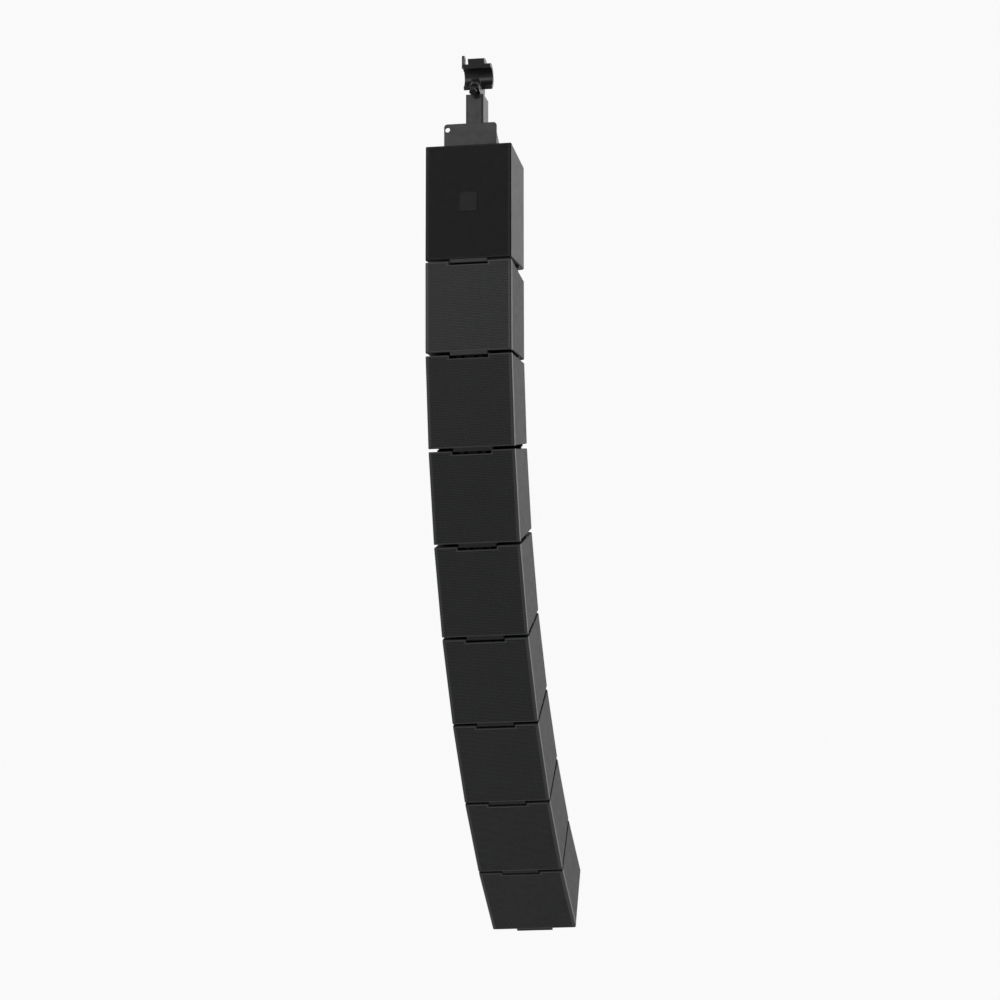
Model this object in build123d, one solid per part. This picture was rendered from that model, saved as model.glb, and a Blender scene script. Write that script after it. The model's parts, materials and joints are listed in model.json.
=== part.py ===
from build123d import *

import math
import os

# A curved line array of loudspeaker boxes hanging from one truss clamp. Millimetres.
# Row frame: +X along the truss, +Y to the back of the array, +Z up, with the origin on the
# axis of the clamp's bore. Every box is drawn in its own frame, whose origin is the middle
# of its top front edge, with y running back into the box and z up, and is then placed.

# Driving dimensions of the boxes
WIDTH = 240.0  # every box
DEPTH = 206.0  # grille face to rear face
SATELLITE_HEIGHT = 254.0  # at the front
HEAD_HEIGHT = 324.0  # at the front
TAPER = 4.5  # degrees that the top and the bottom of a box close towards its rear
WALL = 12.0  # moulded shell
REAR_RADIUS = 14.0  # upright rear corners
EDGE_RADIUS = 3.0  # all other outer edges

# Driving dimensions of the column
SPLAYS = (1.0, 9.0, 8.0, 9.0, 9.0, 8.0, 8.0, 8.0)  # degrees from each box to the next, from the head
GAP = 6.0  # between the front edges of two boxes with no splay
PIVOT_Y = 22.0  # splay pivot behind the grille face, half a gap beyond the box
PIN_R = 4.0
RUNNING = 0.08  # radial clearance of a turning fit

# Grille
GRILLE_DEPTH = 14.0
GRILLE_THICK = 1.5
GRILLE_RADIUS = 4.0  # upright front corners
GRILLE_LIP = 7.5  # depth of the folded top and bottom lips
GRILLE_NOTCH = 9.5  # depth of the notch for the apron of the box above
FOAM_THICK = 4.0
SHELL_FRONT = 14.4
BAFFLE_FRONT = 16.0
BAFFLE_THICK = 18.0
BADGE_SIZE = (50.0, 57.0)

# Front link between two boxes
BLOCK_HALF = 51.0
BLOCK_FRONT, BLOCK_REAR = 10.0, 58.0
BLOCK_DROP = 8.15  # block below the pivot
BLOCK_RISE = 20.0  # block let into the box
BLOCK_ROOM = 3.0  # beside the block, in the notches of the box below
APRON_FRONT = 1.0  # front of the block's lower part, under the grille of its own box
LUG_X, LUG_THICK, LUG_R = 30.0, 12.0, 8.0
LUG_ROOM = 0.6  # at each side of a lug
DRUM_HALF, DRUM_R = 14.0, 7.6
NOTCH_FLOOR = 14.0  # depth of the notch that takes the block of the box above
NOTCH_REAR = 66.0
LUG_FRONT, LUG_REAR = 15.5, 28.5
LUG_ROOT = -24.0
DRUM_FRONT, DRUM_REAR, DRUM_ROOT = 17.0, 27.0, -22.0
CONTACT_X = (-9.0, -3.0, 3.0, 9.0)
BOSS_DEEP, BOSS_SIDE = 26.0, 12.0  # thick places of the shell behind and beside the link

# Moulded ribs across the top and the bottom of the boxes that close the gap to wind and light
STRIP_HALF = 117.0
STRIP_RISE = 6.0
TOP_STRIP = (115.0, 125.0)
LOW_STRIP = (135.0, 145.0)

# Rear splay arm, concentric with the pivot
ARM_R = 163.0
ARM_THICK, ARM_WIDE = 10.0, 16.0
ARM_ROOM = 0.6  # round the arm in its guide
ARM_LOW, ARM_HIGH = -8.5, 19.0  # degrees above the box's y direction, seen from the pivot
GUIDE_HALF = 22.0
GUIDE_FRONT, GUIDE_REAR = 150.0, 199.0
GUIDE_TOP = 86.0  # above the pivot
GUIDE_BOSS = 6.0  # moulding round the guide and the arm's root
ROOT_HALF, ROOT_LOW = 20.0, -34.0
ROOT_FRONT, ROOT_REAR = 172.0, 198.0
LEVER_RISE = 42.0  # lever shaft above the pivot
LEVER_SHAFT_R = 5.0
LEVER_LONG = 48.0

# Driver
CUTOUT_R = 91.0
FLANGE_R = 100.5
FLANGE_THICK = 4.0
SCREW_CIRCLE_R, DRIVER_SCREWS = 96.0, 8
WINDOWS = 6  # in the basket
COILS = ((-55.0, 16.0), (-16.0, 12.0))  # x and radius of the crossover's coils
CAPACITOR_X = (18.0, 36.0, 54.0)

# Rigging above the head
HANG_BACK = 130.0  # grille face of the head to the clamp's axis
HANG_RISE = 235.0  # clamp's axis above the top front edge of the head
BORE_R = 25.0  # truss chord
SADDLE_R = 36.0
SADDLE_HALF = 40.0
RIB_R, RIB_HALF = 51.0, 23.0
SPINE_HALF = 14.0
FOOT_LOW, FOOT_HIGH = -56.0, -40.0
STUD_R = 6.0
SCREW_R = 6.0
SCREW_ANGLE = 225.0  # about +X, from +Y
POST_TOP, POST_BOTTOM = -63.0, -196.0
POST_HALF_X, POST_HALF_Y = 25.0, 40.0
POST_WALL = 4.0
PLATE_HALF = 73.5
PLATE_RISE = 70.0
PLATE_FRONT, PLATE_THICK = 28.0, 6.0
GUSSET_THICK = 5.0
SPINE_TOP = 118.0
BOLT_X, BOLT_R, BOLT_DROP = 12.0, 5.0, 148.0  # through the post and the spine, below the clamp's axis
BOLT_ACROSS = 8.5  # half across the corners of their heads
CAP_X, CAP_Y = (-55.0, 55.0), (60.0, 165.0)  # screws that hold the frame to the head
PLATE_RADIUS = 9.0
HOLE_X, HOLE_RISE, HOLE_R = -64.0, 54.0, 7.0
FRAME_REAR = 190.0

# Amplifier panel in the rear of the head
PANEL_HALF = 104.0
PANEL_TOP, PANEL_BOTTOM = -36.0, -226.0
PANEL_THICK = 3.0
FAN_X, FAN_Z = 52.0, -178.0
FAN_R = 37.0
FAN_SLOTS, SLOT_PITCH, SLOT_HALF = 9, 8.0, 2.0
SWITCH_X, SWITCH_Z = 72.0, -62.0
SWITCH_DEEP = 4.0  # rocker's axis behind the panel's face
SWITCH_TRAVEL = 16.0  # degrees
SWITCH_HALF_X, SWITCH_HALF_Z = 7.0, 11.0
INLET_X, INLET_Z = 34.0, -62.0
INLET_R = 12.0
SOCKET_X = (-72.0, -34.0)
SOCKET_Z = -62.0
SOCKET_R = 10.5
FLANGE_OUT = 1.5  # of the sockets and the switch, on the panel
SINK_FINS, FIN_PITCH, FIN_THICK = 9, 11.5, 2.5
SINK_BACK = 6.0  # behind the panel
BOARD_HALF, BOARD_THICK = 94.0, 2.0
BOARD_LOW, BOARD_HIGH = -214.0, -60.0


def slope(y):
    """How far the top or the bottom of a box has closed at a depth y."""
    return y * math.tan(math.radians(TAPER))


def block(x, y, z):
    """A box between two x, two y and two z values."""
    size = (x[1] - x[0], y[1] - y[0], z[1] - z[0])
    centre = ((x[0] + x[1]) / 2, (y[0] + y[1]) / 2, (z[0] + z[1]) / 2)
    return Pos(*centre) * Box(*size)


def side_prism(points, half, x=0.0):
    """A side outline of (y, z) points, half wide to each side of x."""
    outline = Polyline(*[(x, y, z) for y, z in points], close=True)
    return extrude(make_face(outline), half, dir=(1, 0, 0), both=True)


def across(radius, half, y, z, x=0.0):
    """A round bar along X."""
    return Pos(x, y, z) * Rot(0, 90, 0) * Cylinder(radius, 2 * half)


def along(radius, front, back, x, z):
    """A round bar along Y from front to back."""
    return Pos(x, (front + back) / 2, z) * Rot(90, 0, 0) * Cylinder(radius, back - front)


def upright(radius, low, high, x=0.0, y=0.0):
    """A round bar along Z from low to high."""
    return Pos(x, y, (low + high) / 2) * Cylinder(radius, high - low)


def turned(points, front_y, z):
    """A solid of revolution about an axis along Y: points are (radius, distance towards the front)."""
    face = make_face(Polyline(*[(r, 0, d) for r, d in points], close=True))
    return Pos(0, front_y, z) * Rot(90, 0, 0) * revolve(face, Axis.Z)


def wedge(height, front, back, inset=0.0):
    """Side outline of a box between two depths, inset from its top and bottom."""
    return [
        (front, -inset - slope(front)),
        (back, -inset - slope(back)),
        (back, inset + slope(back) - height),
        (front, inset + slope(front) - height),
    ]


def ring_sector(low, high, inner, outer, half, y, z):
    """Part of a ring about an X axis at (y, z), between two angles from +Y."""
    def at(angle, radius):
        turn = math.radians(angle)
        return (y + radius * math.cos(turn), z + radius * math.sin(turn))

    reach = outer / math.cos(math.radians((high - low) / 4)) + 1
    fan = [(y, z)] + [at(low + (high - low) * i / 4, reach) for i in range(5)]
    ring = across(outer, half, y, z) - across(inner, half + 1, y, z)
    return ring & side_prism(fan, half)


# ---------------------------------------------------------------- shell and baffle

def pivot_low(height):
    """Height of the pivot below a box, in the box's frame."""
    return -height - GAP / 2


def bosses(height, has_top):
    """Thick places inside the shell that hold the rigging."""
    half = BLOCK_HALF + BOSS_SIDE
    made = [
        block((-half, half), (SHELL_FRONT, BLOCK_REAR + BOSS_SIDE), (-height, BOSS_DEEP - height)),
        block((-GUIDE_HALF - GUIDE_BOSS, GUIDE_HALF + GUIDE_BOSS), (GUIDE_FRONT - GUIDE_BOSS, DEPTH),
              (-height, pivot_low(height) + GUIDE_TOP + GUIDE_BOSS)),
    ]
    if has_top:
        half += BLOCK_ROOM
        made.append(block((-half, half), (SHELL_FRONT, NOTCH_REAR + BOSS_SIDE), (-BOSS_DEEP, 0)))
        half = ROOT_HALF + GUIDE_BOSS
        made.append(block((-half, half), (ROOT_FRONT - GUIDE_BOSS, DEPTH), (ROOT_LOW - GUIDE_BOSS, 0)))
    return made


def arm_root():
    """The splay arm's root in the rear of the box's top."""
    points = [(ROOT_FRONT, -slope(ROOT_FRONT)), (ROOT_REAR, -slope(ROOT_REAR)),
              (ROOT_REAR, ROOT_LOW), (ROOT_FRONT, ROOT_LOW)]
    return side_prism(points, ROOT_HALF)


def lug_foot(x):
    """The part of a hinge lug that is let into the shell."""
    return block((x - LUG_THICK / 2, x + LUG_THICK / 2), (LUG_FRONT - 1, LUG_REAR + 1),
                 (LUG_ROOT, -NOTCH_FLOOR))


def guide_space(height):
    """Outer form of the splay arm's guide."""
    low = slope(DEPTH) - height
    return block((-GUIDE_HALF, GUIDE_HALF), (GUIDE_FRONT, GUIDE_REAR),
                 (low, pivot_low(height) + GUIDE_TOP))


def strip(depths, level, up):
    """Rib across the top (up = 1) or the bottom (up = -1) of a box, between two depths."""
    front, back = depths
    root = [(y, level - up * (slope(y) + 1)) for y in (back, front)]
    crest = [(y, level - up * (slope(y) - STRIP_RISE)) for y in (front + 1, back - 1)]
    return side_prism(root + crest, STRIP_HALF)


def shell(height, has_top):
    outer = side_prism(wedge(height, SHELL_FRONT, DEPTH), WIDTH / 2)
    outer = fillet(outer.edges().filter_by(Axis.Z).sort_by(Axis.Y)[-2:], REAR_RADIUS)
    by_height = outer.faces().sort_by(Axis.Z)
    rims = [e for face in (by_height[0], by_height[-1]) for e in face.edges()]
    outer = fillet([e for e in rims if e.center().Y > SHELL_FRONT + 1], EDGE_RADIUS)
    hollow = side_prism(wedge(height, 0, DEPTH - WALL, WALL), WIDTH / 2 - WALL)
    for boss in bosses(height, has_top):
        hollow -= boss
    body = outer - hollow
    body += strip(LOW_STRIP, -height, -1)
    body -= block((-BLOCK_HALF, BLOCK_HALF), (0, BLOCK_REAR), (-height - 1, -height + BLOCK_RISE))
    body -= guide_space(height)
    body -= block((-GUIDE_HALF, GUIDE_HALF), (GUIDE_FRONT, GUIDE_REAR),
                  (-height, slope(DEPTH) - height))
    lever_z = pivot_low(height) + LEVER_RISE
    body -= along(LEVER_SHAFT_R + 1, GUIDE_REAR - 2, DEPTH + 2, 0, lever_z)
    if has_top:
        body += strip(TOP_STRIP, 0, 1)
        notch = BLOCK_HALF + BLOCK_ROOM
        body -= block((-notch, notch), (0, NOTCH_REAR), (-NOTCH_FLOOR, 1))
        body -= arm_root()
        for x in (-LUG_X, LUG_X):
            body -= lug_foot(x)
        body -= drum_foot()
    return body


def baffle(height, has_top):
    half = WIDTH / 2 - WALL
    plate = side_prism(wedge(height, BAFFLE_FRONT, BAFFLE_FRONT + BAFFLE_THICK, WALL), half)
    for boss in bosses(height, has_top):
        plate -= boss
    return plate


def satellite_cabinet():
    driver_z = -SATELLITE_HEIGHT / 2
    front = baffle(SATELLITE_HEIGHT, True)
    front -= along(CUTOUT_R + 0.3, 0, BLOCK_REAR, 0, driver_z)
    return [shell(SATELLITE_HEIGHT, True), front]


def head_cabinet():
    body = shell(HEAD_HEIGHT, False)
    body -= block((-PANEL_HALF, PANEL_HALF), (DEPTH - PANEL_THICK, DEPTH + 1),
                  (PANEL_BOTTOM, PANEL_TOP))
    body -= block((-PANEL_HALF + 6, PANEL_HALF - 6), (DEPTH - 40, DEPTH),
                  (PANEL_BOTTOM + 6, PANEL_TOP - 6))
    front = baffle(HEAD_HEIGHT, False)
    for z in (-92, -198):
        front -= block((-88, 88), (0, 60), (z - 38, z + 38))
    return [body, front]


# ---------------------------------------------------------------- grille

def grille(height, notched):
    """Folded front sheet and its foam; a satellite's has a notch for the apron above it."""
    outer = block((-WIDTH / 2, WIDTH / 2), (0, GRILLE_DEPTH), (-height, 0))
    outer = fillet(outer.edges().filter_by(Axis.Z).sort_by(Axis.Y)[:2], GRILLE_RADIUS)
    inside = WIDTH / 2 - GRILLE_THICK
    inner = block((-inside, inside), (GRILLE_THICK, GRILLE_DEPTH + 1),
                  (GRILLE_THICK - height, -GRILLE_THICK))
    inner = fillet(inner.edges().filter_by(Axis.Z).sort_by(Axis.Y)[:2],
                   GRILLE_RADIUS - GRILLE_THICK)
    foam_half = inside - GRILLE_RADIUS
    foam = block((-foam_half, foam_half), (GRILLE_THICK, GRILLE_THICK + FOAM_THICK),
                 (GRILLE_THICK - height, -GRILLE_THICK))
    if notched:
        half = BLOCK_HALF + BLOCK_ROOM
        notch = block((-half, half), (-1, GRILLE_DEPTH + 1), (-GRILLE_NOTCH, 1))
        half += GRILLE_THICK
        rim = block((-half, half), (-1, GRILLE_DEPTH + 1), (-GRILLE_NOTCH - GRILLE_THICK, 1))
        outer -= notch
        inner -= rim
        foam -= rim
    sheet = outer - inner
    if notched:
        sheet -= rim & block((-WIDTH, WIDTH), (GRILLE_LIP, GRILLE_DEPTH + 1), (-height, 1))
    for z in (0.0, -height):
        sheet -= block((-inside, inside), (GRILLE_LIP, GRILLE_DEPTH + 1),
                       (z - GRILLE_THICK - 0.1, z + GRILLE_THICK + 0.1))
    return [sheet, foam]


def head_grille():
    wide, tall = BADGE_SIZE
    badge = block((-wide / 2, wide / 2), (-1.5, 0), (-tall / 2, tall / 2))
    badge = fillet(badge.edges().filter_by(Axis.Y), 4)
    return grille(HEAD_HEIGHT, False) + [Pos(0, 0, -HEAD_HEIGHT / 2) * badge]


# ---------------------------------------------------------------- rigging between boxes

def link_block(height):
    """Block under the front of a box, with slots for the lugs of the box below, and its pin."""
    z = pivot_low(height)
    body = block((-BLOCK_HALF, BLOCK_HALF), (BLOCK_FRONT, BLOCK_REAR),
                 (z - BLOCK_DROP, -height + BLOCK_RISE))
    body += block((-BLOCK_HALF, BLOCK_HALF), (APRON_FRONT, BLOCK_FRONT),
                  (z - BLOCK_DROP, -height - 0.3))
    low_edges = body.edges().filter_by(Axis.X).sort_by(Axis.Z)[:2]
    body = fillet(low_edges, 2)
    for x in (-LUG_X, LUG_X):
        body -= block((x - LUG_THICK / 2 - LUG_ROOM, x + LUG_THICK / 2 + LUG_ROOM),
                      (PIVOT_Y - 9, PIVOT_Y + 13), (z - 20, z + LUG_R + 1.5))
    body -= block((-DRUM_HALF - LUG_ROOM, DRUM_HALF + LUG_ROOM), (PIVOT_Y - 9, PIVOT_Y + 13),
                  (z - 20, z + LUG_R + 1.5))
    body -= across(PIN_R + 0.02, BLOCK_HALF - 3, PIVOT_Y, z)
    pin = across(PIN_R, BLOCK_HALF - 3, PIVOT_Y, z)
    return [body, pin]


def guide(height):
    """Steel sleeve in the rear of a box's bottom that the splay arm of the box below enters."""
    z = pivot_low(height)
    body = guide_space(height)
    half = ARM_WIDE / 2 + ARM_ROOM
    slot = across(ARM_R + ARM_THICK / 2 + ARM_ROOM, half, PIVOT_Y, z)
    slot -= across(ARM_R - ARM_THICK / 2 - ARM_ROOM, half + 1, PIVOT_Y, z)
    slot &= block((-half, half), (GUIDE_FRONT - 20, GUIDE_REAR + 9),
                  (-height - 40, z + GUIDE_TOP - 3))
    body -= slot
    body -= along(LEVER_SHAFT_R + RUNNING, 170, GUIDE_REAR + 5, 0, z + LEVER_RISE)
    return body


def lugs():
    """Two steel lugs and the contact drum on a box's top front, all on the pivot above it."""
    z = GAP / 2
    made = []
    for x in (-LUG_X, LUG_X):
        lug = across(LUG_R, LUG_THICK / 2, PIVOT_Y, z, x)
        lug += block((x - LUG_THICK / 2, x + LUG_THICK / 2), (LUG_FRONT, LUG_REAR), (-NOTCH_FLOOR, z))
        lug += lug_foot(x)
        lug -= across(PIN_R + RUNNING, LUG_THICK, PIVOT_Y, z, x)
        made.append(lug)
    drum = across(DRUM_R - 1, DRUM_HALF, PIVOT_Y, z)
    drum += block((-DRUM_HALF, DRUM_HALF), (DRUM_FRONT, DRUM_REAR), (-NOTCH_FLOOR, z))
    drum += drum_foot()
    bands = []
    for x in CONTACT_X:
        band = across(DRUM_R, 1.5, PIVOT_Y, z, x) - across(DRUM_R - 1, 2, PIVOT_Y, z, x)
        band &= block((x - 2, x + 2), (0, 60), (z, z + 20))
        bands.append(band)
    drum -= across(PIN_R + RUNNING + 0.1, DRUM_HALF + 1, PIVOT_Y, z)
    return made + [drum] + bands


def drum_foot():
    return block((-DRUM_HALF, DRUM_HALF), (DRUM_FRONT, DRUM_REAR), (DRUM_ROOT, -NOTCH_FLOOR))


def splay_arm():
    """Curved steel bar on the rear of a box's top, concentric with the pivot above the box."""
    bar = ring_sector(ARM_LOW, ARM_HIGH, ARM_R - ARM_THICK / 2, ARM_R + ARM_THICK / 2,
                      ARM_WIDE / 2, PIVOT_Y, GAP / 2)
    return bar + arm_root()


def satellite_rigging():
    return (link_block(SATELLITE_HEIGHT) + [guide(SATELLITE_HEIGHT)] + lugs() + [splay_arm()])


def head_rigging():
    return link_block(HEAD_HEIGHT) + [guide(HEAD_HEIGHT)]


def lever(height):
    """Quarter-turn lock: its shaft pinches the splay arm inside the guide."""
    z = pivot_low(height) + LEVER_RISE
    shaft = along(LEVER_SHAFT_R, 187.2, DEPTH + 2, 0, z)
    hub = along(12, DEPTH + 0.5, DEPTH + 7.5, 0, z)
    arm = block((-7, 7), (DEPTH + 1, DEPTH + 6.5), (z, z + LEVER_LONG))
    tip = along(7, DEPTH + 1, DEPTH + 6.5, 0, z + LEVER_LONG)
    return [shaft + hub + arm + tip]


# ---------------------------------------------------------------- driver

def driver():
    """Eight-inch coaxial driver, crossover board and screws."""
    z = -SATELLITE_HEIGHT / 2
    front = BAFFLE_FRONT
    basket = turned([(93, FLANGE_THICK), (FLANGE_R, FLANGE_THICK), (FLANGE_R, 0), (90.5, 0),
                     (90, -16), (60, -58), (60, -62), (33, -62), (33, -58), (56, -58), (86.5, -15),
                     (87.5, 0)], front, z)
    for turn in range(WINDOWS):
        window = Rot(0, 360 * turn / WINDOWS, 0) * block((52, 90), (20, 54), (-17, 17))
        window = Pos(0, front, z) * window
        basket -= window
    magnet = turned([(33, -62), (62, -62), (62, -92), (14, -92), (14, -70), (33, -70)], front, z)
    horn = turned([(9, -92), (11, -92), (13, -60), (22, -22), (38, -6), (38, -3), (35, -3),
                   (20, -20), (11, -58)], front, z)
    compression = turned([(0, -93), (40, -93), (40, -118), (36, -126), (0, -126)], front, z)
    board = block((-78, 78), (188, 190), (-120, -52))
    coils = [along(r, 168, 188, x, -86) - along(5, 160, 190, x, -86) for x, r in COILS]
    caps = [along(7, 160, 188, x, -72) for x in CAPACITOR_X]
    screws = []
    head_back = front - FLANGE_THICK
    for turn in range(DRIVER_SCREWS):
        angle = 2 * math.pi * (turn + 0.5) / DRIVER_SCREWS
        x, rise = SCREW_CIRCLE_R * math.cos(angle), SCREW_CIRCLE_R * math.sin(angle)
        screws.append(along(3.5, head_back - 2.5, head_back, x, z + rise))
    return [basket, magnet, horn, compression, board] + coils + caps + screws


def cone():
    """Paper cone, rubber surround and voice-coil former, which travel together."""
    z = -SATELLITE_HEIGHT / 2
    front = BAFFLE_FRONT
    paper = turned([(29.5, -40), (80, -7), (80, -5.6), (29.5, -38)], front, z)
    surround = turned([(80, -7), (84, -8), (84.5, -5), (82, -2), (80, -4)], front, z)
    former = turned([(28.5, -40), (29.5, -40), (29.5, -56), (28.5, -56)], front, z)
    return [paper, surround, former]


# ---------------------------------------------------------------- head electronics

def amp_module():
    """Rear panel with its sockets, boards, heat sink, transformer and fan housing."""
    inner, outer = DEPTH - PANEL_THICK, DEPTH
    panel = block((-PANEL_HALF + 0.5, PANEL_HALF - 0.5), (inner, outer),
                  (PANEL_BOTTOM + 0.5, PANEL_TOP - 0.5))
    panel = fillet(panel.edges().filter_by(Axis.Y), 3)
    panel -= along(INLET_R, inner - 1, outer + 1, INLET_X, INLET_Z)
    for x in SOCKET_X:
        panel -= along(SOCKET_R, inner - 1, outer + 1, x, SOCKET_Z)
    switch_hole = block((SWITCH_X - SWITCH_HALF_X, SWITCH_X + SWITCH_HALF_X), (inner - 1, outer + 3),
                        (SWITCH_Z - SWITCH_HALF_Z, SWITCH_Z + SWITCH_HALF_Z))
    panel -= switch_hole
    for i in range(FAN_SLOTS):
        off = SLOT_PITCH * (i - (FAN_SLOTS - 1) / 2)
        half = math.sqrt(FAN_R ** 2 - off ** 2) - 2
        panel -= block((FAN_X + off - SLOT_HALF, FAN_X + off + SLOT_HALF), (inner - 1, outer + 1),
                       (FAN_Z - half, FAN_Z + half))
    made = [panel, round_socket(INLET_X, INLET_Z, INLET_R, INLET_R - 2.5, 24)]
    made += [round_socket(x, SOCKET_Z, SOCKET_R, SOCKET_R - 2, 20) for x in SOCKET_X]
    housing = block((FAN_X - 40, FAN_X + 40), (inner - 25, inner), (FAN_Z - 40, FAN_Z + 40))
    housing -= along(FAN_R + 1, inner - 30, inner + 1, FAN_X, FAN_Z)
    hub = along(10, inner - 4, inner, FAN_X, FAN_Z)
    for turn in (45, 135):
        hub += Pos(FAN_X, inner - 2, FAN_Z) * Rot(0, turn, 0) * Box(2 * FAN_R + 5, 4, 4)
    made += [housing + hub]
    made += heat_sink(inner) + boards()
    half_x, half_z = SWITCH_HALF_X + FLANGE_OUT, SWITCH_HALF_Z + FLANGE_OUT
    bezel = block((SWITCH_X - half_x, SWITCH_X + half_x), (outer, outer + FLANGE_OUT),
                  (SWITCH_Z - half_z, SWITCH_Z + half_z))
    made.append(bezel - switch_hole)
    for x in (-98.5, 0, 98.5):
        for z in (PANEL_TOP - 5.5, PANEL_BOTTOM + 5.5):
            made.append(along(3.2, outer, outer + 1.6, x, z))
    return made


def round_socket(x, z, outer_r, inner_r, deep):
    """A chassis socket: a cup behind the panel with a flange ring on it."""
    face = DEPTH
    cup = along(outer_r, face - deep, face, x, z) - along(inner_r, face - deep + 3, face + 1, x, z)
    ring = along(outer_r + 3, face, face + FLANGE_OUT, x, z)
    ring -= along(inner_r, face - 1, face + 3, x, z)
    return cup + ring


def heat_sink(inner):
    """Aluminium block with fins towards the panel, beside the fan."""
    back = inner - SINK_BACK
    root = back - 32
    base = block((-BOARD_HALF, 4), (root - 6, root), (BOARD_LOW, -96))
    for i in range(SINK_FINS):
        x = 2 - BOARD_HALF + FIN_PITCH * i
        base += block((x, x + FIN_THICK), (root, back), (BOARD_LOW, -96))
    return [base]


def boards():
    """Amplifier board and supply board, each with the parts soldered to it."""
    amplifier = block((-BOARD_HALF, BOARD_HALF), (150, 150 + BOARD_THICK), (BOARD_LOW, BOARD_HIGH))
    for x in (-70, -40, 22, 52):
        amplifier += block((x, x + 18), (132, 150), (-110, -92))
    supply = block((-BOARD_HALF, BOARD_HALF), (92, 92 + BOARD_THICK), (BOARD_LOW, BOARD_HIGH))
    supply += along(34, 56, 92, -48, -150) - along(10, 40, 100, -48, -150)
    for x in (20, 48, 76):
        supply += along(12, 58, 92, x, -110)
    for z in (-170, -196):
        supply += block((10, 80), (70, 92), (z - 9, z + 9))
    return [amplifier, supply]


def fan_rotor():
    inner = DEPTH - PANEL_THICK
    back = inner - 6
    hub = along(15, back - 17, back, FAN_X, FAN_Z)
    for turn in range(7):
        blade = Pos(24.5, 0, 0) * Rot(24, 0, 0) * Box(22, 1.6, 17)
        hub += Pos(FAN_X, back - 8.5, FAN_Z) * Rot(0, 360 * turn / 7, 0) * blade
    return [hub & along(FAN_R - 1.2, back - 17, back, FAN_X, FAN_Z)]


def power_switch():
    """Rocker that tips about an X axis in the panel, standing at one end of its travel."""
    y = DEPTH - SWITCH_DEEP
    rocker = side_prism([(-8, -9), (8, -9), (6, 0), (8, 9), (-8, 9)], 6.4)
    rocker += across(2.5, 6.9, 0, 0)
    return [Pos(SWITCH_X, y, SWITCH_Z) * Rot(-SWITCH_TRAVEL / 2, 0, 0) * rocker]


# ---------------------------------------------------------------- rigging above the head

def to_head(shape):
    """From the clamp's frame into the head's frame."""
    return Pos(0, HANG_BACK, HANG_RISE) * shape


def clamp_body():
    """Cast hook over the truss chord, its stud, spacer and nut."""
    saddle = ring_sector(-70, 25, BORE_R, SADDLE_R, SADDLE_HALF, 0, 0)
    saddle += ring_sector(24, 120, BORE_R, SADDLE_R, SADDLE_HALF, 0, 0)
    rib = ring_sector(20, 115, BORE_R + 4, RIB_R, RIB_HALF, 0, 0)
    spine = side_prism([(30, 18), (46, 18), (44, -38), (30, FOOT_LOW), (-32, FOOT_LOW),
                        (-52, -48), (-40, -33), (-18, FOOT_HIGH), (8, -37), (20, -20)],
                       SPINE_HALF)
    body = saddle + rib + spine
    body += upright(SPINE_HALF, FOOT_LOW, -30)
    ear = block((-41, -35), (-14, 14), (20, 62))
    ear = fillet(ear.edges().filter_by(Axis.X).sort_by(Axis.Z)[-2:], 12)
    ear -= across(5, 10, 0, 50, -38)
    body += ear
    body -= across(BORE_R, 60, 0, 0)
    body += screw_axis(11, 45.5, 60)
    body -= screw_axis(SCREW_R + RUNNING, 30, 75)
    stud = upright(STUD_R, -95, FOOT_LOW)
    spacer = upright(12, POST_TOP + 0.3, FOOT_LOW)
    washer = upright(13, POST_TOP - 11, POST_TOP - 8.3) - upright(STUD_R, -120, 0)
    nut = extrude(RegularPolygon(10.5, 6), 10)
    nut = Pos(0, 0, POST_TOP - 21) * nut - upright(STUD_R, -120, 0)
    return [body + stud + spacer, washer, nut]


def screw_axis(radius, near, far):
    """A round bar on the clamp screw's axis, between two distances from the bore's axis."""
    turn = math.radians(SCREW_ANGLE)
    middle = (near + far) / 2
    place = Pos(0, middle * math.cos(turn), middle * math.sin(turn))
    return place * Rot(SCREW_ANGLE - 90, 0, 0) * Cylinder(radius, far - near)


def clamp_pad():
    pad = ring_sector(SCREW_ANGLE - 20, SCREW_ANGLE + 20, BORE_R + 0.4, 32, 12, 0, 0)
    return [pad + screw_axis(9, 30, 35)]


def clamp_screw():
    """Hexagon-headed screw whose point turns in the pad."""
    shank = screw_axis(SCREW_R, 35.4, 84)
    turn = math.radians(SCREW_ANGLE)
    place = Pos(0, 82 * math.cos(turn), 82 * math.sin(turn)) * Rot(SCREW_ANGLE - 90, 0, 0)
    return [shank + place * extrude(RegularPolygon(11, 6), 9)]


def hanger():
    """Steel post whose top plate turns on the clamp's stud."""
    post = block((-POST_HALF_X, POST_HALF_X), (-POST_HALF_Y, POST_HALF_Y), (POST_BOTTOM, POST_TOP))
    post = fillet(post.edges().filter_by(Axis.Z), 6)
    hollow = block((POST_WALL - POST_HALF_X, POST_HALF_X - POST_WALL),
                   (POST_WALL - POST_HALF_Y, POST_HALF_Y - POST_WALL),
                   (POST_BOTTOM - 1, POST_TOP - 8))
    post -= hollow
    post -= upright(STUD_R + RUNNING, POST_TOP - 10, POST_TOP + 1)
    post -= block((-15, 15), (0, POST_HALF_Y + 1), (-112, -72))
    for x in (-BOLT_X, BOLT_X):
        post -= along(BOLT_R + 0.1, -60, 60, x, -BOLT_DROP)
    return [post]


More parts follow.
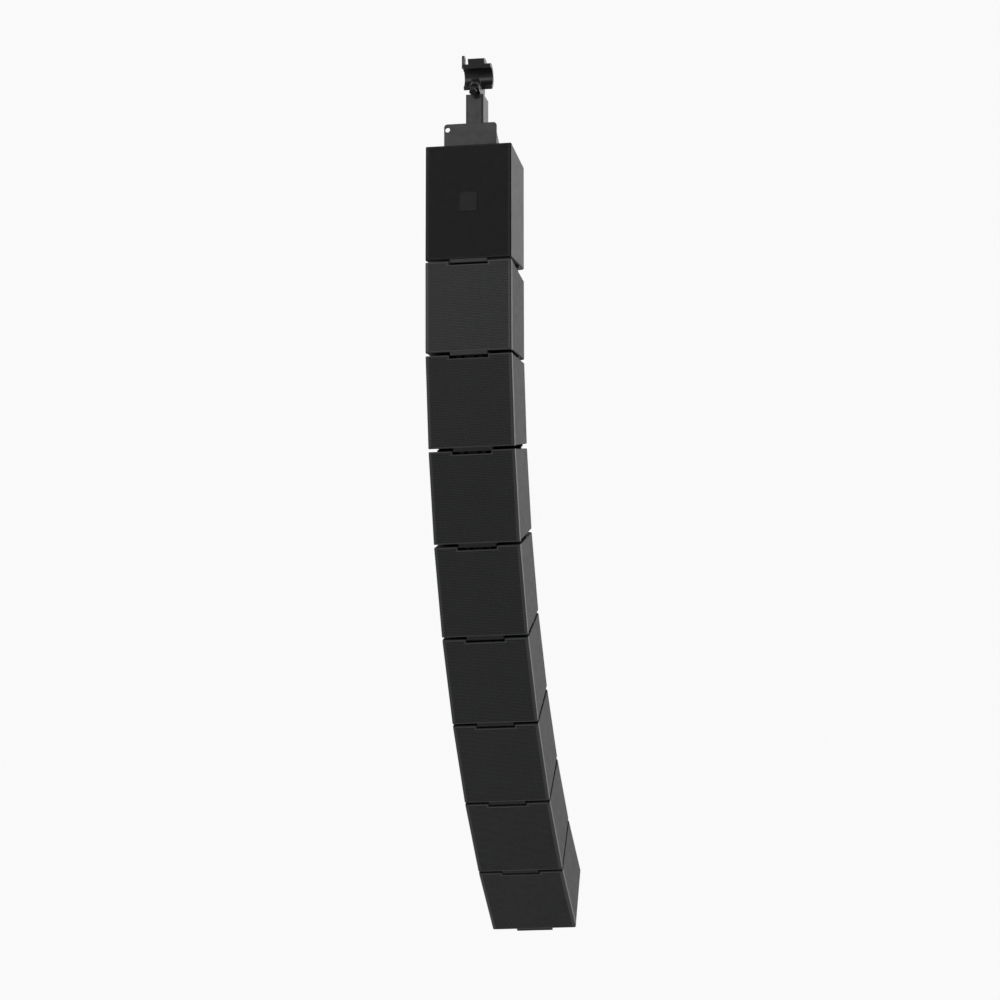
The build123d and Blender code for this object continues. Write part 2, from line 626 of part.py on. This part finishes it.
def fly_frame():
    """Front plate, base plate, gussets and spine in one weldment, and its bolts."""
    top = PLATE_RISE
    plate = block((-PLATE_HALF, PLATE_HALF), (PLATE_FRONT, PLATE_FRONT + PLATE_THICK), (2, top))
    plate = fillet(plate.edges().filter_by(Axis.Y).sort_by(Axis.Z)[-2:], PLATE_RADIUS)
    plate -= along(HOLE_R, 0, 60, HOLE_X, HOLE_RISE)
    plate = chamfer(plate.faces().sort_by(Axis.Y)[0].edges(), 0.8)
    base = side_prism([(PLATE_FRONT, -slope(PLATE_FRONT)), (FRAME_REAR, -slope(FRAME_REAR)),
                       (FRAME_REAR, PLATE_THICK - slope(FRAME_REAR)),
                       (PLATE_FRONT, PLATE_THICK - slope(PLATE_FRONT))], PLATE_HALF)
    frame = plate + base
    gusset = [(PLATE_FRONT + 3, 0), (120, -8), (PLATE_FRONT + 3, 44)]
    for x in (GUSSET_THICK / 2 - PLATE_HALF, PLATE_HALF - GUSSET_THICK / 2):
        frame += side_prism(gusset, GUSSET_THICK / 2, x)
    half_x, half_y = POST_HALF_X - POST_WALL - 0.3, POST_HALF_Y - POST_WALL - 0.3
    spine = block((-half_x, half_x), (HANG_BACK - half_y, HANG_BACK + half_y),
                  (-14, SPINE_TOP))
    spine -= block((POST_WALL - half_x, half_x - POST_WALL),
                   (HANG_BACK + POST_WALL - half_y, HANG_BACK - POST_WALL + half_y), (-20, 130))
    spine -= side_prism([(0, 0), (DEPTH, -slope(DEPTH)), (DEPTH, -60), (0, -60)], PLATE_HALF)
    frame += spine
    bolt_z = HANG_RISE - BOLT_DROP
    made = []
    for x in (-BOLT_X, BOLT_X):
        frame -= along(BOLT_R + 0.1, 60, 200, x, bolt_z)
        front, back = HANG_BACK - POST_HALF_Y, HANG_BACK + POST_HALF_Y
        shank = along(BOLT_R, front - 1, back + 9, x, bolt_z)
        head = Pos(x, front, bolt_z) * Rot(90, 0, 0) * extrude(RegularPolygon(BOLT_ACROSS, 6), 6.4)
        nut = Pos(x, back + 8, bolt_z) * Rot(90, 0, 0) * extrude(RegularPolygon(BOLT_ACROSS, 6), 8)
        made.append(shank + head + nut)
    for x in CAP_X:
        for y in CAP_Y:
            low = PLATE_THICK - slope(y) + 0.6
            made.append(upright(6.5, low, low + 5, x, y))
    return [frame] + made


# ---------------------------------------------------------------- assembly

def satellite():
    """Every node of one satellite, in its own frame."""
    return {
        "cabinet": satellite_cabinet(),
        "grille": grille(SATELLITE_HEIGHT, True),
        "drivers": driver(),
        "cone": cone(),
        "rigging": satellite_rigging(),
        "lever": lever(SATELLITE_HEIGHT),
    }


def head():
    """Every node of the head and the rigging above it, in the head's frame."""
    return {
        "clamp_body": [to_head(s) for s in clamp_body()],
        "clamp_pad": [to_head(s) for s in clamp_pad()],
        "clamp_screw": [to_head(s) for s in clamp_screw()],
        "hanger": [to_head(s) for s in hanger()],
        "fly_frame": fly_frame(),
        "head_cabinet": head_cabinet(),
        "head_grille": head_grille(),
        "head_rigging": head_rigging(),
        "head_lever": lever(HEAD_HEIGHT),
        "amp_module": amp_module(),
        "fan_rotor": fan_rotor(),
        "power_switch": power_switch(),
    }


def column_places():
    """Place of each satellite's frame in the row frame, from the top down."""
    pivot = Vector(0, PIVOT_Y - HANG_BACK, -HANG_RISE + pivot_low(HEAD_HEIGHT))
    tilt = 0.0
    places = []
    for splay in SPLAYS:
        tilt += splay
        places.append(Location(pivot) * Rot(tilt, 0, 0) * Pos(0, -PIVOT_Y, -GAP / 2))
        step = Vector(0, 0, -SATELLITE_HEIGHT - GAP).rotate(Axis.X, tilt)
        pivot += step
    return places


def write(name, place, solids):
    placed = []
    for shape in solids:
        placed += (place * shape).solids()
    export_step(Compound(children=placed), f"parts/{name}.step")


os.makedirs("parts", exist_ok=True)
head_place = Pos(0, -HANG_BACK, -HANG_RISE)
for node, solids in head().items():
    write(node, head_place, solids)
one = satellite()
for number, place in enumerate(column_places(), start=1):
    for node, solids in one.items():
        write(f"sat{number}_{node}", place, solids)
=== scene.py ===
import json
import math

import bmesh
import bpy
from mathutils import Matrix, Vector


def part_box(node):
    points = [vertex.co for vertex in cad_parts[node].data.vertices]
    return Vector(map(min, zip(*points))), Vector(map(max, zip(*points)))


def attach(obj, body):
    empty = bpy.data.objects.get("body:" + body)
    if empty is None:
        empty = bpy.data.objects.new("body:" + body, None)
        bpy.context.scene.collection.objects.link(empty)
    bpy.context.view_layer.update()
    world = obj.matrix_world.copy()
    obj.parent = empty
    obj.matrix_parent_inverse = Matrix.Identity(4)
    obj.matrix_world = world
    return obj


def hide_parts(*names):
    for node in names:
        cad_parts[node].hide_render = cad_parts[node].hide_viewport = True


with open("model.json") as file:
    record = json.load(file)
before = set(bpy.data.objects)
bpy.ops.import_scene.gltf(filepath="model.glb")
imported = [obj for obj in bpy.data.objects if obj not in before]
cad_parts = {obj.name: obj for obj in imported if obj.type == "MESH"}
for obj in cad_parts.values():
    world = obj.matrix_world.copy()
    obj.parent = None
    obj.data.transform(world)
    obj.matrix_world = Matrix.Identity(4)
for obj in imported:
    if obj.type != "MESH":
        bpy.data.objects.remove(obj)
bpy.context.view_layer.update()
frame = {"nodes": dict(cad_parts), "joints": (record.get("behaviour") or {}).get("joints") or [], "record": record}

# Everything is in metres, in the frame of the CAD model: +X along the truss, +Y to the back
# of the array, +Z up, with the origin on the axis of the truss clamp. Each box is drawn in
# its own frame: origin in the middle of its top front edge, y back into the box, z up.

JOINTS = {joint["name"]: joint for joint in frame["joints"]}
SATELLITES = [f"sat{n}" for n in range(1, 9)]
BOXES = ["head"] + SATELLITES

# Sizes taken from the frame
TOP_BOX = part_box("sat1_grille")
HEAD_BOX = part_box("head_grille")
FRONT = TOP_BOX[0].y
HALF_WIDTH = TOP_BOX[1].x
SATELLITE_HEIGHT = TOP_BOX[1].z - TOP_BOX[0].z
HEAD_HEIGHT = HEAD_BOX[1].z - HEAD_BOX[0].z
BADGE_DEPTH = FRONT - HEAD_BOX[0].y

# Grille sheet
GRILLE_DEPTH = 0.014
SHEET = 0.0015
CORNER = 0.004  # radius of the upright front corners
FOLD = 0.0018  # radius of the top and bottom folds
LIP = 0.0075
NOTCH_HALF, NOTCH_DEPTH = 0.054, 0.0095  # in a satellite's top edge, for the link above it
PITCH = 0.005  # between perforations
HOLE = 0.0021  # centre of a perforation to its corners
MARGIN = 0.0028  # plain border above and below the perforations
NOTCH_COLUMN, NOTCH_ROWS = 12, 2  # first column of cells beside the notch, rows cut by it
FOAM_GAP, FOAM_THICK = 0.0002, 0.004
BADGE = (0.050, 0.057)
BADGE_RADIUS = 0.004
BADGE_WALL, BADGE_BEVEL = 0.0009, 0.0006  # upright part of the rim, and its bevel
BADGE_FRAME, BADGE_SUNK = 0.0028, 0.0004  # from the outline to the middle field, and its depth


# ---------------------------------------------------------------- helpers

def tilt_of(box):
    """Angle in radians by which a box leans at rest."""
    if box == "head":
        return 0.0
    axis = JOINTS[f"cone{box[3:]}_travel"]["axis"]
    return math.atan2(-axis[2], -axis[1])


def place_of(box):
    """Matrix from a box's own frame into the row frame."""
    if box == "head":
        return Matrix.Translation((0, FRONT, HEAD_BOX[1].z))
    first = Vector(JOINTS["splay1"]["pos_m"])
    to_pivot = Vector((0, first.y - FRONT, first.z - TOP_BOX[1].z))
    pivot = Vector(JOINTS[f"splay{box[3:]}"]["pos_m"])
    turn = Matrix.Rotation(tilt_of(box), 4, "X")
    return Matrix.Translation(pivot) @ turn @ Matrix.Translation(-to_pivot)


def piece(name, mesh, body, place, material):
    """A new object that rides on a CAD body."""
    made = bpy.data.objects.new(name, mesh)
    bpy.context.scene.collection.objects.link(made)
    made.matrix_world = place
    mesh.materials.clear()
    mesh.materials.append(material)
    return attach(made, body)


def mesh_from(name, bm):
    bmesh.ops.recalc_face_normals(bm, faces=bm.faces)
    mesh = bpy.data.meshes.new(name)
    bm.to_mesh(mesh)
    bm.free()
    return mesh


# ---------------------------------------------------------------- materials

class Finish:
    """Node tree of one material, with the few building blocks that the finishes share."""

    def __init__(self, name):
        self.material = bpy.data.materials.new(name)
        self.material.use_nodes = True
        self.tree = self.material.node_tree
        self.shader = self.tree.nodes["Principled BSDF"]
        self.coordinates = self.node("ShaderNodeTexCoord").outputs["Object"]

    def node(self, kind, settings=(), **inputs):
        made = self.tree.nodes.new(kind)
        for key, value in dict(settings).items():
            setattr(made, key, value)
        for key, value in inputs.items():
            socket = made.inputs[key.replace("_", " ")]
            if isinstance(value, bpy.types.NodeSocket):
                self.tree.links.new(value, socket)
            else:
                socket.default_value = value
        return made

    def noise(self, scale, detail=3.0, roughness=0.5):
        made = self.node("ShaderNodeTexNoise", Vector=self.coordinates, Scale=scale,
                         Detail=detail, Roughness=roughness)
        return made.outputs["Fac"]

    def spread(self, value, low, high, to_low, to_high):
        """Maps a value from one range to another, clamped."""
        made = self.node("ShaderNodeMapRange", Value=value, From_Min=low, From_Max=high,
                         To_Min=to_low, To_Max=to_high)
        return made.outputs["Result"]

    def math(self, operation, first, second=0.0):
        made = self.tree.nodes.new("ShaderNodeMath")
        made.operation = operation
        for socket, value in zip(made.inputs, (first, second)):
            if isinstance(value, bpy.types.NodeSocket):
                self.tree.links.new(value, socket)
            else:
                socket.default_value = value
        return made.outputs["Value"]

    def mix(self, factor, first, second):
        made = self.node("ShaderNodeMix", {"data_type": "RGBA"})
        colours = [s for s in made.inputs if s.type == "RGBA"]
        for socket, value in ((made.inputs[0], factor), (colours[0], first), (colours[1], second)):
            if isinstance(value, bpy.types.NodeSocket):
                self.tree.links.new(value, socket)
            else:
                socket.default_value = value
        return next(s for s in made.outputs if s.type == "RGBA")

    def edges(self, radius):
        """1 on the object's edges and 0 on its flat faces."""
        bevel = self.node("ShaderNodeBevel", {"samples": 4}, Radius=radius).outputs["Normal"]
        flat = self.node("ShaderNodeNewGeometry").outputs["Normal"]
        dot = self.node("ShaderNodeVectorMath", {"operation": "DOT_PRODUCT"})
        self.tree.links.new(bevel, dot.inputs[0])
        self.tree.links.new(flat, dot.inputs[1])
        return self.spread(dot.outputs["Value"], 0.75, 0.995, 1.0, 0.0)

    def bump(self, height, strength, distance):
        made = self.node("ShaderNodeBump", Height=height, Strength=strength, Distance=distance)
        return made.outputs["Normal"]

    def set(self, **inputs):
        for key, value in inputs.items():
            socket = self.shader.inputs[key.replace("_", " ")]
            if isinstance(value, bpy.types.NodeSocket):
                self.tree.links.new(value, socket)
            else:
                socket.default_value = value


def grey(value, warm=0.0):
    """A near-neutral colour with a slight warm or cool cast."""
    return (value * (1 + warm), value, value * (1 - warm), 1.0)


CAST = -0.03  # slightly cool blacks
EDGE_HIGHLIGHT_WIDTH = 0.0012  # width of the painted edge highlight


def coating(name, tone, rough, grain_scale, grain_depth, edge_highlight=0.0, edge_highlight_tone=0.2, metal=0.0,
            shine=0.5):
    """Sprayed, cast or powder-coated surface: grain, faint blotches and a painted highlight on its edges."""
    made = Finish(name)
    blotch = made.noise(9.0, 4.0)
    colour = made.mix(made.spread(blotch, 0.35, 0.65, 0.0, 1.0), grey(tone * 0.94, CAST),
                      grey(tone * 1.06, CAST))
    # Painted edge highlight: the edges are lightened in patches toward a paler tone.
    if edge_highlight:
        highlight_patches = made.spread(made.noise(160.0, 5.0, 0.65), 0.45, 0.62, 0.0, 1.0)
        edge = made.math("MULTIPLY", made.edges(EDGE_HIGHLIGHT_WIDTH), highlight_patches)
        colour = made.mix(made.math("MULTIPLY", edge, edge_highlight), colour, grey(edge_highlight_tone))
    grain = made.noise(grain_scale, 2.0, 0.6)
    made.set(Base_Color=colour, Metallic=metal, Specular_IOR_Level=shine,
             Roughness=made.spread(made.noise(55.0), 0.3, 0.7, rough - 0.03, rough + 0.03),
             Normal=made.bump(grain, 0.6, grain_depth))
    return made.material


def foam(name):
    made = Finish(name)
    cells = made.node("ShaderNodeTexVoronoi", Vector=made.coordinates, Scale=900.0)
    pores = made.spread(cells.outputs["Distance"], 0.1, 0.6, 0.0, 1.0)
    made.set(Base_Color=made.mix(pores, grey(0.024), grey(0.008)), Roughness=0.95,
             Specular_IOR_Level=0.2, Normal=made.bump(pores, 0.8, 0.0006))
    return made.material


# The sixth and seventh numbers of a coating are the strength and the tone of its painted edge highlight.
MATERIALS = {
    "cabinet_shell": coating("textured_black_paint", 0.010, 0.58, 1300.0, 0.00035, 0.35, 0.07,
                             shine=0.13),
    "grille_metal": coating("grille_powder_coat", 0.032, 0.48, 2600.0, 0.00008, shine=0.35),
    "driver_metal": coating("driver_black", 0.04, 0.45, 700.0, 0.0002),
    "cone_paper": coating("cone_paper", 0.02, 0.85, 500.0, 0.0003),
    "rigging_steel": coating("rigging_black", 0.010, 0.45, 900.0, 0.00015, 0.4, 0.15, shine=0.25),
    "lever_steel": coating("lever_satin", 0.07, 0.32, 900.0, 0.0001, 0.5, 0.3, 0.6),
    "fly_paint": coating("fly_powder_coat", 0.020, 0.48, 1000.0, 0.00025, 0.4, 0.12, shine=0.35),
    "clamp_alloy": coating("clamp_anodised", 0.02, 0.42, 800.0, 0.00025, 0.6, 0.35, 0.5),
    "panel_metal": coating("panel_anodised", 0.03, 0.36, 1600.0, 0.0001, 0.4, 0.2, 0.4),
    "fan_plastic": coating("fan_plastic", 0.02, 0.5, 900.0, 0.0001),
    "switch_plastic": coating("switch_plastic", 0.02, 0.22, 600.0, 0.00005),
}
HEAD_SHELL = coating("head_black_paint", 0.020, 0.55, 1300.0, 0.00035, 0.35, 0.08, shine=0.2)
HEAD_GRILLE = coating("head_grille_powder_coat", 0.006, 0.48, 2600.0, 0.00008, shine=0.17)
BADGE_FINISH = coating("badge_satin", 0.005, 0.5, 1200.0, 0.00005, shine=0.16)
FOAM = foam("acoustic_foam")


def dress_cad():
    """Gives every CAD node the finish of its material slot."""
    for part in frame["record"]["subparts"]:
        mesh = frame["nodes"][part["node"]].data
        mesh.materials.clear()
        head = part["node"] == "head_cabinet"
        mesh.materials.append(HEAD_SHELL if head else MATERIALS[part["material_slot"]])
        for face in mesh.polygons:
            face.material_index = 0


# ---------------------------------------------------------------- grille

FLAT = HALF_WIDTH - CORNER
ARC = CORNER * math.pi / 2
BEND = [FLAT + ARC * step / 4 for step in range(5)]
EDGE = FLAT + ARC + GRILLE_DEPTH - CORNER
CELL = PITCH / math.sqrt(3)  # centre of a honeycomb cell to its corners
ROW = 1.5 * CELL
COLUMNS = int(FLAT / PITCH - 0.5)


def wrapped(along, z, inset=0.0):
    """Point of the grille's sheet: along is measured round its corners from the middle."""
    beyond = abs(along) - FLAT
    if beyond <= 0:
        return Vector((along, inset, z))
    turn = min(beyond / CORNER, math.pi / 2)
    x = FLAT + (CORNER - inset) * math.sin(turn)
    y = CORNER - (CORNER - inset) * math.cos(turn) + max(beyond - ARC, 0.0)
    return Vector((math.copysign(x, along), y, z))


def row_count(height):
    """Rows of cells above the middle row."""
    return int((height / 2 - MARGIN - CELL) / ROW)


def crest(start, stop, level, sign):
    """Upper (1) or lower (-1) outline of a row of cells, in half columns from start to stop."""
    return [(half * PITCH / 2, level + sign * (CELL / 2 if half % 2 else CELL))
            for half in range(start, stop + 1)]


def straight_border(height, sign):
    """Points on the cells, on the fold beyond them and the way it folds, along one border."""
    last = -height / 2 + sign * row_count(height) * ROW
    border = (0.0 if sign > 0 else -height) - sign * FOLD
    end = 2 * COLUMNS + 1
    return [(point, (point[0], border), (0, sign)) for point in crest(-end, end, last, sign)]


def notched_border(height):
    """The same along a satellite's top border, down and up again round its notch."""
    rows = row_count(height)
    middle = -height / 2
    last = middle + rows * ROW
    wall, floor = -NOTCH_HALF - FOLD, -NOTCH_DEPTH - FOLD
    side = -NOTCH_COLUMN * PITCH
    path = [(point, (point[0], -FOLD), (0, 1))
            for point in crest(-2 * COLUMNS - 1, -2 * NOTCH_COLUMN, last, 1)]
    path.append(((side + PITCH / 2, last + CELL / 2), (wall, -FOLD), (1, 1)))
    for row in range(rows, rows - NOTCH_ROWS, -1):
        x = side if (rows - row) % 2 else side + PITCH / 2
        for step in (CELL / 2, -CELL / 2):
            z = middle + row * ROW + step
            path.append(((x, z), (wall, max(z, floor)), (1, 0) if z > floor else (1, 1)))
    for point in crest(1 - 2 * NOTCH_COLUMN, 0, last - NOTCH_ROWS * ROW, 1):
        x = max(point[0], wall)
        path.append((point, (x, floor), (0, 1) if x > wall else (1, 1)))
    mirrored = [((-a[0], a[1]), (-b[0], b[1]), (-way[0], way[1])) for a, b, way in path[:-1]]
    return path + mirrored[::-1]


class Sheet:
    """Mesh under construction, on the grille's wrapped surface."""

    def __init__(self):
        self.bm = bmesh.new()
        self.known = {}

    def point(self, along, z, inset=0.0):
        key = (round(along, 6), round(z, 6), round(inset, 6))
        if key not in self.known:
            self.known[key] = self.bm.verts.new(wrapped(along, z, inset))
        return self.known[key]

    def face(self, *points):
        """A face through the points that differ."""
        corners = list(dict.fromkeys(self.point(*p) for p in points))
        if len(corners) > 2:
            self.bm.faces.new(corners)

    def cell(self, x, z):
        """One honeycomb cell with its hole."""
        turns = [math.radians(90 - 60 * k) for k in range(6)]
        outer = [self.point(x + CELL * math.cos(t), z + CELL * math.sin(t)) for t in turns]
        inner = [self.point(x + HOLE * math.cos(t), z + HOLE * math.sin(t)) for t in turns]
        for k in range(6):
            self.bm.faces.new((outer[k], inner[k], inner[k - 1], outer[k - 1]))

    def side_strip(self, height, side):
        """Plain border at one side, round the corner and back to the cabinet."""
        rows = row_count(height)
        levels = []
        for row in range(rows, -rows - 1, -1):
            z = -height / 2 + row * ROW
            x = (COLUMNS if (rows - row) % 2 else COLUMNS + 0.5) * PITCH
            levels += [(x, z + CELL / 2), (x, z - CELL / 2)]
        for (x0, z0), (x1, z1) in zip(levels, levels[1:]):
            near = [x0] + BEND + [EDGE]
            far = [x1] + BEND + [EDGE]
            for k in range(len(near) - 1):
                self.face((side * near[k], z0), (side * near[k + 1], z0),
                          (side * far[k + 1], z1), (side * far[k], z1))

    def folded_border(self, path, sign):
        """Plain border beyond the cells, its rounded fold and its lip, cut away at the corners."""
        level, border = path[0][0][1], path[0][1][1]
        for x in BEND + [EDGE]:
            path = [((-x, level), (-x, border), (0, sign))] + path
            path = path + [((x, level), (x, border), (0, sign))]
        for (a0, b0, _), (a1, b1, _) in zip(path, path[1:]):
            self.face(a0, a1, b1, b0)
        rim = []
        for step in range(5):
            turn = math.radians(22.5 * step)
            rim.append((FOLD * math.sin(turn), FOLD * (1 - math.cos(turn))))
        rim.append((FOLD, LIP))
        for (out0, in0), (out1, in1) in zip(rim, rim[1:]):
            for (_, b0, w0), (_, b1, w1) in zip(path, path[1:]):
                cut_away = in1 == LIP and max(abs(b0[0]), abs(b1[0])) > BEND[0]
                if b0 != b1 and not cut_away:
                    self.face((b0[0] + w0[0] * out0, b0[1] + w0[1] * out0, in0),
                              (b1[0] + w1[0] * out0, b1[1] + w1[1] * out0, in0),
                              (b1[0] + w1[0] * out1, b1[1] + w1[1] * out1, in1),
                              (b0[0] + w0[0] * out1, b0[1] + w0[1] * out1, in1))


def perforated(height, notched):
    """Front sheet with a honeycomb of holes, its folds and its lips, before it has thickness."""
    sheet = Sheet()
    rows = row_count(height)
    for row in range(-rows, rows + 1):
        short = (rows - row) % 2
        shift = short / 2
        for column in range(-COLUMNS, COLUMNS + 1 - short):
            beside = abs(column + shift) >= NOTCH_COLUMN
            if beside or not notched or row <= rows - NOTCH_ROWS:
                sheet.cell((column + shift) * PITCH, -height / 2 + row * ROW)
    for side in (-1, 1):
        sheet.side_strip(height, side)
    top = notched_border(height) if notched else straight_border(height, 1)
    sheet.folded_border(top, 1)
    sheet.folded_border(straight_border(height, -1), -1)
    return sheet.bm


def grille_mesh(name, height, notched):
    """Perforated sheet with its real thickness, folded at all four sides."""
    mesh = mesh_from(name, perforated(height, notched))
    if mesh.polygons[0].normal.y > 0:
        mesh.flip_normals()
    temporary = bpy.data.objects.new(name, mesh)
    bpy.context.scene.collection.objects.link(temporary)
    solid = temporary.modifiers.new("thickness", "SOLIDIFY")
    solid.thickness = SHEET
    solid.offset = -1.0
    bpy.context.view_layer.update()
    done = bpy.data.meshes.new_from_object(
        temporary.evaluated_get(bpy.context.evaluated_depsgraph_get()))
    bpy.data.objects.remove(temporary)
    done.set_sharp_from_angle(angle=math.radians(35))
    return done


def slab(name, outline, front, back):
    """Flat plate: an outline of (x, z) points between two depths."""
    bm = bmesh.new()
    rings = [[bm.verts.new((x, y, z)) for x, z in outline] for y in (front, back)]
    for k in range(len(outline)):
        bm.faces.new((rings[0][k - 1], rings[0][k], rings[1][k], rings[1][k - 1]))
    bm.faces.new(rings[0])
    bm.faces.new(rings[1][::-1])
    return mesh_from(name, bm)


def foam_mesh(name, height, notched):
    """Foam that lines the perforated part of the grille."""
    room = SHEET + FOAM_GAP
    half, top = FLAT - room, -room
    outline = [(half, top), (half, room - height), (-half, room - height), (-half, top)]
    if notched:
        side, floor = NOTCH_HALF + room, -NOTCH_DEPTH - room
        outline += [(-side, top), (-side, floor), (side, floor), (side, top)]
    return slab(name, outline, room, room + FOAM_THICK)


def badge_mesh():
    """Plain raised badge with rounded corners, a bevelled rim and a sunk middle field."""
    bm = bmesh.new()

    def ring(shrink, depth):
        radius = max(BADGE_RADIUS - shrink, 0.0005)
        points = []
        for quarter in range(4):
            sx = (1, -1, -1, 1)[quarter]
            sz = (1, 1, -1, -1)[quarter]
            centre = (sx * (BADGE[0] / 2 - shrink - radius), sz * (BADGE[1] / 2 - shrink - radius))
            for step in range(7):
                turn = math.radians(90 * quarter + 15 * step)
                points.append(bm.verts.new((centre[0] + radius * math.cos(turn), depth,
                                            centre[1] + radius * math.sin(turn))))
        return points

    steps = [(0.0, 0.0), (0.0, -BADGE_WALL), (BADGE_BEVEL, -BADGE_DEPTH), (BADGE_FRAME, -BADGE_DEPTH),
             (BADGE_FRAME + BADGE_SUNK, -BADGE_DEPTH + BADGE_SUNK)]
    rings = [ring(*step) for step in steps]
    for near, far in zip(rings, rings[1:]):
        for k in range(len(near)):
            bm.faces.new((near[k - 1], near[k], far[k], far[k - 1]))
    bm.faces.new(rings[-1])
    bm.faces.new(rings[0][::-1])
    mesh = mesh_from("badge", bm)
    mesh.set_sharp_from_angle(angle=math.radians(30))
    return mesh


def build_grilles():
    satellite_sheet = grille_mesh("satellite_sheet", SATELLITE_HEIGHT, True)
    satellite_foam = foam_mesh("satellite_foam", SATELLITE_HEIGHT, True)
    for box in BOXES:
        place = place_of(box)
        if box == "head":
            sheet = grille_mesh("head_sheet", HEAD_HEIGHT, False)
            backing = foam_mesh("head_foam", HEAD_HEIGHT, False)
        else:
            sheet, backing = satellite_sheet, satellite_foam
        finish = MATERIALS["grille_metal"] if box != "head" else HEAD_GRILLE
        face = piece(f"{box}_grille_sheet", sheet, box, place, finish)
        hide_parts(f"{box}_grille")
        lining = piece(f"{box}_grille_foam", backing, box, place, FOAM)
    centre = place_of("head") @ Matrix.Translation((0, 0, -HEAD_HEIGHT / 2))
    badge = piece("head_badge", badge_mesh(), "head", centre, BADGE_FINISH)


# ---------------------------------------------------------------- stage

FLOOR = -6.4
FLOOR_HALF = 60.0
WORLD_FRONT, WORLD_BACK = 0.28, 1.0  # light from in front of the array and from behind it
BACKDROP = 0.95  # brightness of the background that the camera sees
CAMERA = Vector((2.615, -13.82, -4.406))
TARGET = Vector((0.0, 0.35, -1.13))
LENS = 190.0


def plain(name, tone, rough):
    made = Finish(name)
    cloud = made.spread(made.noise(0.6), 0.3, 0.7, 0.0, 1.0)
    made.set(Base_Color=made.mix(cloud, grey(tone * 0.98), grey(tone)), Roughness=rough)
    return made.material


def build_floor():
    mesh = bpy.data.meshes.new("studio_floor")
    signs = ((-1, -1), (1, -1), (1, 1), (-1, 1))
    corners = [(x * FLOOR_HALF, y * FLOOR_HALF, FLOOR) for x, y in signs]
    mesh.from_pydata(corners, [], [(0, 1, 2, 3)])
    mesh.materials.append(plain("pale_floor", 0.8, 0.7))
    floor = bpy.data.objects.new("studio_floor", mesh)
    bpy.context.scene.collection.objects.link(floor)


def build_world():
    """Pale surroundings that light the sides and the back more than the front."""
    world = bpy.data.worlds.new("studio")
    bpy.context.scene.world = world
    world.use_nodes = True
    tree = world.node_tree
    background = tree.nodes["Background"]
    background.inputs["Color"].default_value = (1.0, 1.0, 1.0, 1.0)
    where = tree.nodes.new("ShaderNodeTexCoord")
    split = tree.nodes.new("ShaderNodeSeparateXYZ")
    tree.links.new(where.outputs["Generated"], split.inputs["Vector"])
    strength = tree.nodes.new("ShaderNodeMapRange")
    strength.interpolation_type = "SMOOTHSTEP"
    reach = {"From Min": -0.6, "From Max": 0.8, "To Min": WORLD_FRONT, "To Max": WORLD_BACK}
    for name, value in reach.items():
        strength.inputs[name].default_value = value
    tree.links.new(split.outputs["Y"], strength.inputs["Value"])
    rays = tree.nodes.new("ShaderNodeLightPath")
    choose = tree.nodes.new("ShaderNodeMix")
    choose.data_type = "FLOAT"
    tree.links.new(rays.outputs["Is Camera Ray"], choose.inputs["Factor"])
    tree.links.new(strength.outputs["Result"], choose.inputs["A"])
    choose.inputs["B"].default_value = BACKDROP
    tree.links.new(choose.outputs["Result"], background.inputs["Strength"])


def softbox(name, place, aim, size, power):
    light = bpy.data.lights.new(name, "AREA")
    light.shape = "RECTANGLE"
    light.size, light.size_y = size
    light.energy = power
    made = bpy.data.objects.new(name, light)
    bpy.context.scene.collection.objects.link(made)
    made.location = place
    made.rotation_euler = (Vector(aim) - Vector(place)).to_track_quat("-Z", "Y").to_euler()
    made.visible_camera = False


def build_camera():
    data = bpy.data.cameras.new("camera")
    data.lens = LENS
    data.clip_end = 200.0
    made = bpy.data.objects.new("camera", data)
    bpy.context.scene.collection.objects.link(made)
    made.location = CAMERA
    made.rotation_euler = (TARGET - CAMERA).to_track_quat("-Z", "Y").to_euler()
    bpy.context.scene.camera = made


dress_cad()
build_grilles()
build_floor()
build_world()
softbox("key_softbox", (7.0, 7.0, 1.5), (0, 0, -1.2), (5.0, 6.0), 430.0)
softbox("front_fill", (-3.0, -9.0, 3.0), (0, 0, -1.0), (4.0, 3.0), 380.0)
build_camera()
bpy.context.scene.view_settings.view_transform = "Standard"
